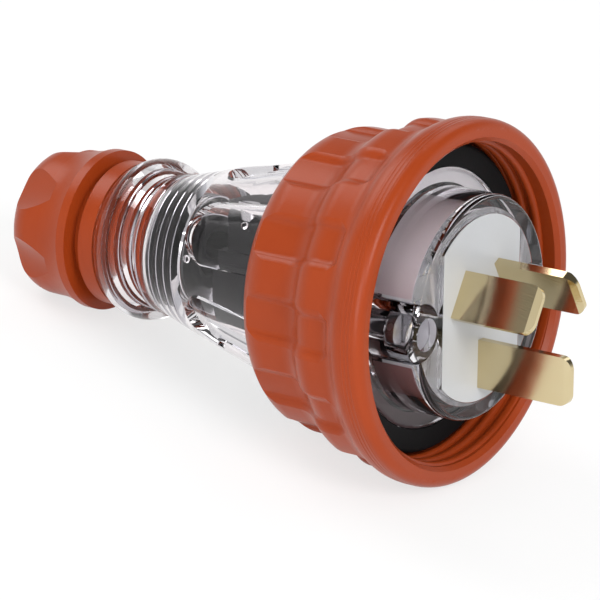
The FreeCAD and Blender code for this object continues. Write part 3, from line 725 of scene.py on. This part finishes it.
@dataclass(frozen=True)
class Ball(Shape):
    """A small ball.

    Attributes:
        centre: Its middle, about the plug's axis.
        radius: Its radius.
        steps: How many rows of faces it has; there are twice as many round it.
    """

    centre: Place
    radius: float
    steps: int = 12

    def add_to(self, form: Form) -> None:
        """Add the ball to a form.

        Args:
            form: The form that it is added to.
        """
        top, around = len(form.points), 2 * self.steps
        x, y, z = self.centre
        form.corner(x, y, z + self.radius)
        for row in range(1, self.steps):
            down = math.pi * row / self.steps
            for column in range(around):
                turn = math.tau * column / around
                form.corner(x + self.radius * math.sin(down) * math.cos(turn),
                            y + self.radius * math.sin(down) * math.sin(turn),
                            z + self.radius * math.cos(down))
        form.corner(x, y, z - self.radius)
        bottom = len(form.points) - 1
        lowest = bottom - around
        for column in range(around):
            after = (column + 1) % around
            form.faces.append((top, top + 1 + column, top + 1 + after))
            for upper in range(top + 1, lowest, around):
                lower = upper + around
                form.faces.append((upper + column, lower + column, lower + after, upper + after))
            form.faces.append((lowest + column, bottom, lowest + after))


@dataclass(frozen=True)
class Sleeve(Shape):
    """A sleeve along the plug, or part of one.

    Attributes:
        radii: Its inner and outer radius.
        stations: Its front and back along the plug.
        arc: Where it starts and ends round its middle, in degrees from +y towards +z.
        centre: Its middle line, as (y, z).
        step: The angle of one of its parts, in degrees.
    """

    radii: Pair
    stations: Pair
    arc: Pair = (0.0, 360.0)
    centre: Pair = (0.0, 0.0)
    step: float = 2.0

    def add_to(self, form: Form) -> None:
        """Add the sleeve to a form.

        Args:
            form: The form that it is added to.
        """
        inner, outer = self.radii
        front, back = self.stations
        section = ((front, outer), (back, outer), (back, inner), (front, inner))
        size, first = len(section), len(form.points)
        span = self.arc[1] - self.arc[0]
        closed, steps = span >= 360, round(span / self.step)
        rows = steps if closed else steps + 1
        for row in range(rows):
            angle = math.radians(self.arc[0] + span * row / steps)
            for along, reach in section:
                form.turned_corner(along, reach, angle, self.centre)
        for row in range(steps):
            form.band(first + row * size, first + (row + 1) % rows * size, size)
        if not closed:
            last = first + steps * size
            form.faces.append(tuple(first + corner for corner in reversed(range(size))))
            form.faces.append(tuple(last + corner for corner in range(size)))


# Pieces


def new_piece(name: str, body: Body, material: bpy.types.Material, plug: PlugFrame,
              shapes: list[Shape], smooth: bool = True) -> None:
    """Make a piece of one or more shapes and let it ride on a body.

    Args:
        name: The piece's name.
        body: The body that it moves with.
        material: Its finish.
        plug: The plug's own axes.
        shapes: The shapes that it is made of.
        smooth: Whether its faces are shaded as one.
    """
    form = Form(plug)
    for shape in shapes:
        shape.add_to(form)
    mesh = bpy.data.meshes.new(name)
    mesh.from_pydata(form.points, [], form.faces)
    mesh.polygons.foreach_set("use_smooth", [smooth] * len(form.faces))
    mesh.materials.append(material)
    mesh.validate()
    piece = bpy.data.objects.new(name, mesh)
    bpy.context.scene.collection.objects.link(piece)
    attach(piece, body.value)
    log.info("%s: %d faces, rides on %s", name, len(form.faces), body.value)


def dress(material: bpy.types.Material, *nodes: str) -> None:
    """Give the frame's nodes a finish.

    Args:
        material: The finish.
        *nodes: The names of the nodes.
    """
    for name in nodes:
        mesh = frame["nodes"][name].data
        mesh.materials.clear()
        mesh.materials.append(material)
        log.info("%s: %s", name, material.name)


# Sub-assemblies


@dataclass
class CouplingRing:
    """The orange ring with its thread and the fine lines on its lip."""

    mouth_radius: float = 30.0
    lip_radius: float = 34.0
    thread_start: float = -4.8
    thread_pitch: float = 2.6
    thread_turns: float = 3.0
    thread_width: float = 1.7
    thread_height: float = 0.8
    line_first: float = -5.2
    line_step: float = 0.8
    line_count: int = 3
    line_width: float = 0.4
    line_height: float = 0.045
    steps: int = 180

    def build(self, plug: PlugFrame, finishes: Finishes) -> None:
        """Dress the ring and wind its thread and lines.

        Args:
            plug: The plug's own axes.
            finishes: The plug's finishes.
        """
        dress(finishes.orange, "coupling_ring")
        thread = Ridge(self.mouth_radius, self.thread_start, self.thread_turns, self.thread_pitch,
                       self.thread_width, self.thread_height, Side.INWARD, steps=self.steps)
        new_piece("coupling_thread", Body.RING, finishes.orange, plug, [thread])
        lines = [Ridge(self.lip_radius, self.line_first - self.line_step * index, 1, 0,
                       self.line_width, self.line_height, steps=self.steps)
                 for index in range(self.line_count)]
        new_piece("lip_lines", Body.RING, finishes.orange, plug, lines)


@dataclass
class ClearShells:
    """The clear rear body and pin housing, with the thread, nibs and frosted flange that they carry."""

    bore_radius: float = 10.4
    thread_start: float = -59.6
    thread_turns: float = 9.0
    thread_pitch: float = 2.0
    thread_width: float = 1.0
    thread_height: float = 0.2
    nibs: tuple[Place, ...] = ((-54.0, -16.9, 3.45), (-42.7, -14.3, 11.15))
    nib_radius: float = 0.75
    frost_radii: Pair = (21.3, 23.9)
    frost_stations: Pair = (-12.6, -12.85)

    def build(self, plug: PlugFrame, finishes: Finishes) -> None:
        """Dress the clear shells and add the collar's thread, the nibs and the flange's frosted back.

        Args:
            plug: The plug's own axes.
            finishes: The plug's finishes.
        """
        dress(finishes.clear, "rear_body", "pin_housing")
        thread = Ridge(self.bore_radius, self.thread_start, self.thread_turns, self.thread_pitch,
                       self.thread_width, self.thread_height, Side.INWARD)
        new_piece("collar_thread", Body.SHELL, finishes.clear, plug, [thread])
        nibs = [Ball(place, self.nib_radius) for place in self.nibs]
        new_piece("moulding_nibs", Body.SHELL, finishes.clear, plug, nibs)
        # Its finish darkens towards the bottom: painted shade.
        frost = Sleeve(self.frost_radii, self.frost_stations)
        new_piece("flange_frost", Body.SHELL, finishes.frost, plug, [frost], smooth=False)


@dataclass
class Gland:
    """The nut with the thread on its stem, the slip washer and the grommet."""

    stem_radius: float = 10.1
    thread_start: float = -68.6
    thread_turns: float = 4.6
    thread_pitch: float = 2.0
    thread_width: float = 0.85
    thread_height: float = 0.22

    def build(self, plug: PlugFrame, finishes: Finishes) -> None:
        """Dress the gland and wind the stem's thread.

        Args:
            plug: The plug's own axes.
            finishes: The plug's finishes.
        """
        dress(finishes.orange, "gland_nut")
        dress(finishes.washer, "gland_washer")
        dress(finishes.rubber, "cable_grommet")
        thread = Ridge(self.stem_radius, self.thread_start, self.thread_turns, self.thread_pitch,
                       self.thread_width, self.thread_height)
        new_piece("stem_thread", Body.NUT, finishes.orange, plug, [thread])


@dataclass
class Contacts:
    """The pins, their carrier with its skirt, terminals and shroud, the clamp, seals and screws."""

    skirt_radii: Pair = (18.27, 18.33)
    skirt_stations: Pair = (-2.6, -16.5)
    skirt_arcs: tuple[Pair, Pair] = ((16.0, 164.0), (203.0, 337.0))
    bay_radii: Pair = (5.62, 6.35)
    bay_stations: Pair = (-10.7, -16.5)
    bay_half_arc: float = 83.0
    bay_turn: float = 3.0
    screw_radius: float = 1.5
    screw_side: float = 17.3
    screw_down: float = 1.0
    thread_start: float = -18.0
    thread_turns: float = 16.0
    thread_pitch: float = 0.5
    thread_width: float = 0.4
    thread_height: float = 0.07
    thread_steps: int = 20

    def skirt(self) -> list[Sleeve]:
        """Shape the carrier's skirt.

        Returns:
            The sleeves above and below the screw bosses, and the bay round each boss.
        """
        sleeves = [Sleeve(self.skirt_radii, self.skirt_stations, arc) for arc in self.skirt_arcs]
        for side, inward in ((-1, self.bay_turn), (1, 180 - self.bay_turn)):
            sleeves.append(Sleeve(self.bay_radii, self.bay_stations,
                                  (inward - self.bay_half_arc, inward + self.bay_half_arc),
                                  (side * self.screw_side, -self.screw_down)))
        return sleeves

    def build(self, plug: PlugFrame, finishes: Finishes) -> None:
        """Dress the contacts, add the carrier's skirt and wind the housing screws' threads.

        Args:
            plug: The plug's own axes.
            finishes: The plug's finishes.
        """
        dress(finishes.brass, "live_pin_left", "live_pin_right", "earth_pin", "terminal_left",
              "terminal_right", "terminal_earth")
        dress(finishes.white, "pin_carrier")
        dress(finishes.black, "terminal_shroud", "clamp_bridge")
        dress(finishes.steel, "terminal_screws", "clamp_screws", "housing_screws")
        dress(finishes.rubber, "flange_seal", "housing_o_ring")
        # The skirt and the bays round the screw bosses darken and redden towards the bottom: painted
        # shade and a painted reflection of the orange ring.
        new_piece("carrier_skirt", Body.SHELL, finishes.skirt, plug, self.skirt(),
                  smooth=False)
        threads = [Ridge(self.screw_radius, self.thread_start, self.thread_turns, self.thread_pitch,
                         self.thread_width, self.thread_height,
                         centre=(side * self.screw_side, -self.screw_down), steps=self.thread_steps)
                   for side in (-1, 1)]
        new_piece("housing_screw_threads", Body.SHELL, finishes.steel, plug, threads)


# Studio


@dataclass(frozen=True)
class Lamp:
    """A soft square lamp.

    Attributes:
        name: Its name.
        place: Where it stands, about the plug's middle, in metres.
        size: The length of its sides in metres.
        power: Its power in watts.
    """

    name: str
    place: Place
    size: float
    power: float

    def build(self, target: Vector) -> None:
        """Stand the lamp so that it faces the plug.

        Args:
            target: The plug's middle.
        """
        light = bpy.data.lights.new(self.name, "AREA")
        light.size = self.size
        light.energy = self.power
        lamp = bpy.data.objects.new(self.name, light)
        bpy.context.scene.collection.objects.link(lamp)
        lamp.location = target + Vector(self.place)
        lamp.rotation_euler = (target - lamp.location).to_track_quat("-Z", "Y").to_euler()


@dataclass
class Studio:
    """The white floor, the room, the lamps and the camera.

    The floor and the lamps are in metres. The top of the backdrop and the start of the ceiling are in
    degrees above the horizon. The camera's turn, rise and roll are in degrees about the plug's own axis,
    and its distance and shifts, like the plug's middle, in millimetres from the face of the plug.
    """

    floor_half: float = 4.0
    floor_drop: float = 0.0001
    floor_colour: Colour = (0.9, 0.9, 0.9)
    floor_roughness: float = 0.9
    floor_glow: float = 0.7
    sky_level: float = 0.5
    ceiling_mirrored: float = 0.1
    ceiling_through: float = 0.65
    backdrop_top: float = 6.0
    ceiling_start: float = 34.0
    plug_middle: float = -30.0
    lamps: tuple[Lamp, ...] = (
        Lamp("key_lamp", place=(-0.85, -0.02, 0.7), size=0.6, power=4.6),
        Lamp("front_lamp", place=(0.82, -0.42, 0.74), size=0.5, power=7.4),
        Lamp("near_lamp", place=(0.4, -0.85, 0.25), size=0.5, power=3.5),
        Lamp("side_lamp", place=(-0.1, -0.9, 0.7), size=0.6, power=0.8),
        Lamp("back_lamp", place=(-0.3, 0.8, 0.9), size=0.7, power=2.4),
    )
    camera_turn: float = -54.034
    camera_rise: float = 16.41
    camera_roll: float = 0.637
    camera_distance: float = 903.368
    camera_side: float = -32.76
    camera_up: float = 1.467
    camera_lens: float = 300.04
    camera_near: float = 0.01
    sensor_width: float = 36.0

    def build_floor(self) -> None:
        """Lay a white floor that keeps the plug's soft shadow."""
        half, drop = self.floor_half, -self.floor_drop
        mesh = bpy.data.meshes.new("floor")
        corners = [(-half, -half, drop), (half, -half, drop), (half, half, drop), (-half, half, drop)]
        mesh.from_pydata(corners, [], [(0, 1, 2, 3)])
        shader = Shader("floor_paper")
        shader.surface.inputs["Base Color"].default_value = (*self.floor_colour, 1)
        shader.surface.inputs["Roughness"].default_value = self.floor_roughness
        shader.surface.inputs["Specular IOR Level"].default_value = 0
        glow = shader.add("ShaderNodeEmission")
        seen = shader.between(shader.background_seen(), 0, self.floor_glow)
        shader.mix_in(seen, glow.outputs["Emission"])
        mesh.materials.append(shader.material)
        floor = bpy.data.objects.new("floor", mesh)
        bpy.context.scene.collection.objects.link(floor)

    def build_room(self) -> None:
        """Light the plug evenly from a room whose white backdrop fades into a dark ceiling."""
        world = bpy.data.worlds.new("room")
        world.use_nodes = True
        room = Nodes(world.node_tree)
        direction = room.add("ShaderNodeTexCoord")
        parts = room.add("ShaderNodeSeparateXYZ")
        room.join(direction.outputs["Generated"], parts.inputs["Vector"])
        path = room.add("ShaderNodeLightPath")
        ceiling = room.between(path.outputs["Is Transmission Ray"], self.ceiling_mirrored,
                               self.ceiling_through)
        fade = room.add("ShaderNodeMapRange", interpolation_type="SMOOTHSTEP")
        fade.inputs["From Min"].default_value = math.sin(math.radians(self.backdrop_top))
        fade.inputs["From Max"].default_value = math.sin(math.radians(self.ceiling_start))
        fade.inputs["To Min"].default_value = 1
        room.join(parts.outputs["Z"], fade.inputs["Value"])
        room.join(ceiling, fade.inputs["To Max"])
        behind = room.larger(fade.outputs["Result"], path.outputs["Is Camera Ray"])
        level = room.add("ShaderNodeMix")
        level.inputs["A"].default_value = self.sky_level
        room.join(room.background_seen(), level.inputs["Factor"])
        room.join(behind, level.inputs["B"])
        shine = room.tree.nodes["Background"]
        shine.inputs["Color"].default_value = (1, 1, 1, 1)
        room.join(level.outputs["Result"], shine.inputs["Strength"])
        bpy.context.scene.world = world

    def build_camera(self, plug: PlugFrame) -> None:
        """Stand the camera where the photograph was taken from.

        Args:
            plug: The plug's own axes, about which the camera was found.
        """
        turn, rise, roll = (math.radians(angle) for angle in
                            (self.camera_turn, self.camera_rise, self.camera_roll))
        back = Vector((math.cos(turn) * math.cos(rise), math.sin(turn) * math.cos(rise), math.sin(rise)))
        level_right = Vector((-math.sin(turn), math.cos(turn), 0))
        level_up = back.cross(level_right)
        right = math.cos(roll) * level_right + math.sin(roll) * level_up
        up = -math.sin(roll) * level_right + math.cos(roll) * level_up
        place = right * self.camera_side + up * self.camera_up + back * self.camera_distance
        lens = bpy.data.cameras.new("camera")
        lens.lens = self.camera_lens
        lens.sensor_width = self.sensor_width
        lens.clip_start = self.camera_near
        camera = bpy.data.objects.new("camera", lens)
        bpy.context.scene.collection.objects.link(camera)
        upright = Matrix.Rotation(-plug.tilt, 3, "Y")
        axes = upright @ Matrix((right, up, back)).transposed()
        camera.matrix_world = Matrix.Translation(plug.point(*place)) @ axes.to_4x4()
        bpy.context.scene.camera = camera

    def build(self, plug: PlugFrame) -> None:
        """Set up the whole studio.

        Args:
            plug: The plug's own axes.
        """
        for lamp in self.lamps:
            lamp.build(plug.point(self.plug_middle, 0, 0))
        self.build_floor()
        self.build_room()
        self.build_camera(plug)
        bpy.context.scene.view_settings.view_transform = "Standard"
        log.info("studio: floor, room, lamps and camera")


def main() -> None:
    """Dress the plug, add its fine forms and set up the studio."""
    logging.basicConfig(level=logging.INFO, format="%(name)s: %(message)s")
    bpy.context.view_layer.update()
    plug = PlugFrame.from_record(frame["record"])
    finishes = Finishes()
    for assembly in (CouplingRing(), ClearShells(), Gland(), Contacts()):
        assembly.build(plug, finishes)
    Studio().build(plug)


if __name__ == "__main__":
    main()
